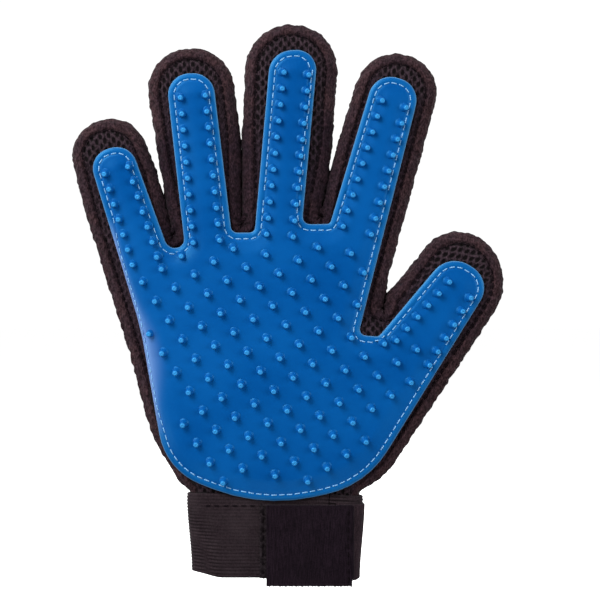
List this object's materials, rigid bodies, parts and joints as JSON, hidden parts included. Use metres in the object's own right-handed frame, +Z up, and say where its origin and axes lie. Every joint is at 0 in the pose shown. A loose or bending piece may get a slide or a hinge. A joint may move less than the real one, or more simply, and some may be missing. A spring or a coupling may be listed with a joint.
{
  "type": "pet grooming glove",
  "caption": "Five-finger pet grooming glove: nubbed silicone pad on the palm, spacer-mesh back, elastic wrist with a hook-and-loop tab.",
  "frame": {"origin": "centre of the cuff's mouth, where the hand goes in, midway between the back and palm fabrics", "axes": "+Z up the fingers, +X to the thumb's side, -Y is the way the palm and its nubs face, +Y the back of the hand"},
  "size_m": [0.181, 0.0176, 0.235],
  "materials": {
    "spacer_mesh": "matt knitted spacer mesh",
    "blue_silicone": "semi-gloss moulded silicone",
    "blue_thread": "polyester thread",
    "black_thread": "polyester thread",
    "ribbed_elastic": "ribbed woven elastic",
    "binding_tape": "woven tape",
    "loop_tape": "brushed loop pile",
    "tab_webbing": "woven webbing with a pinked end",
    "hook_tape": "nylon hook tape"
  },
  "bodies": {
    "palm": {"hand_back_shell": "spacer_mesh", "hand_palm_panel": "spacer_mesh", "hand_pad": "blue_silicone", "hand_pad_stitches": "blue_thread", "hand_edge_seam": "black_thread", "wrist_band": "ribbed_elastic", "band_stitches": "black_thread", "cuff_binding": "binding_tape", "loop_patch": "loop_tape", "loop_patch_stitches": "black_thread", "strap_anchor": "ribbed_elastic"},
    "little": {"little_back_shell": "spacer_mesh", "little_palm_panel": "spacer_mesh", "little_pad": "blue_silicone", "little_pad_stitches": "blue_thread", "little_edge_seam": "black_thread"},
    "ring": {"ring_back_shell": "spacer_mesh", "ring_palm_panel": "spacer_mesh", "ring_pad": "blue_silicone", "ring_pad_stitches": "blue_thread", "ring_edge_seam": "black_thread"},
    "middle": {"middle_back_shell": "spacer_mesh", "middle_palm_panel": "spacer_mesh", "middle_pad": "blue_silicone", "middle_pad_stitches": "blue_thread", "middle_edge_seam": "black_thread"},
    "index": {"index_back_shell": "spacer_mesh", "index_palm_panel": "spacer_mesh", "index_pad": "blue_silicone", "index_pad_stitches": "blue_thread", "index_edge_seam": "black_thread"},
    "thumb": {"thumb_back_shell": "spacer_mesh", "thumb_palm_panel": "spacer_mesh", "thumb_pad": "blue_silicone", "thumb_pad_stitches": "blue_thread", "thumb_edge_seam": "black_thread"},
    "strap": {"closure_tab": "tab_webbing", "hook_patch": "hook_tape", "tab_stitches": "black_thread"}
  },
  "joints": [
    {"name": "little_flex", "type": "hinge", "parent": "palm", "child": "little", "pos_m": [-0.05872, -0.00775, 0.14847], "axis": [0.9877, 0, 0.1564], "range_deg": [0, 70], "stiffness_Nm_per_rad": 0.03},
    {"name": "ring_flex", "type": "hinge", "parent": "palm", "child": "ring", "pos_m": [-0.02996, -0.00775, 0.15767], "axis": [0.9986, 0, 0.0523], "range_deg": [0, 70], "stiffness_Nm_per_rad": 0.03},
    {"name": "middle_flex", "type": "hinge", "parent": "palm", "child": "middle", "pos_m": [0.0035, -0.00775, 0.16018], "axis": [0.9998, 0, -0.0175], "range_deg": [0, 70], "stiffness_Nm_per_rad": 0.03},
    {"name": "index_flex", "type": "hinge", "parent": "palm", "child": "index", "pos_m": [0.03848, -0.00775, 0.16184], "axis": [0.9903, 0, -0.1392], "range_deg": [0, 70], "stiffness_Nm_per_rad": 0.03},
    {"name": "thumb_flex", "type": "hinge", "parent": "palm", "child": "thumb", "pos_m": [0.06476, -0.00775, 0.105], "axis": [0.5358, 0, -0.8443], "range_deg": [0, 70], "stiffness_Nm_per_rad": 0.03},
    {"name": "closure_tab_peel", "type": "hinge", "parent": "palm", "child": "strap", "pos_m": [0.0325, -0.00805, 0], "axis": [0, 0, 1], "range_deg": [0, 150]}
  ]
}
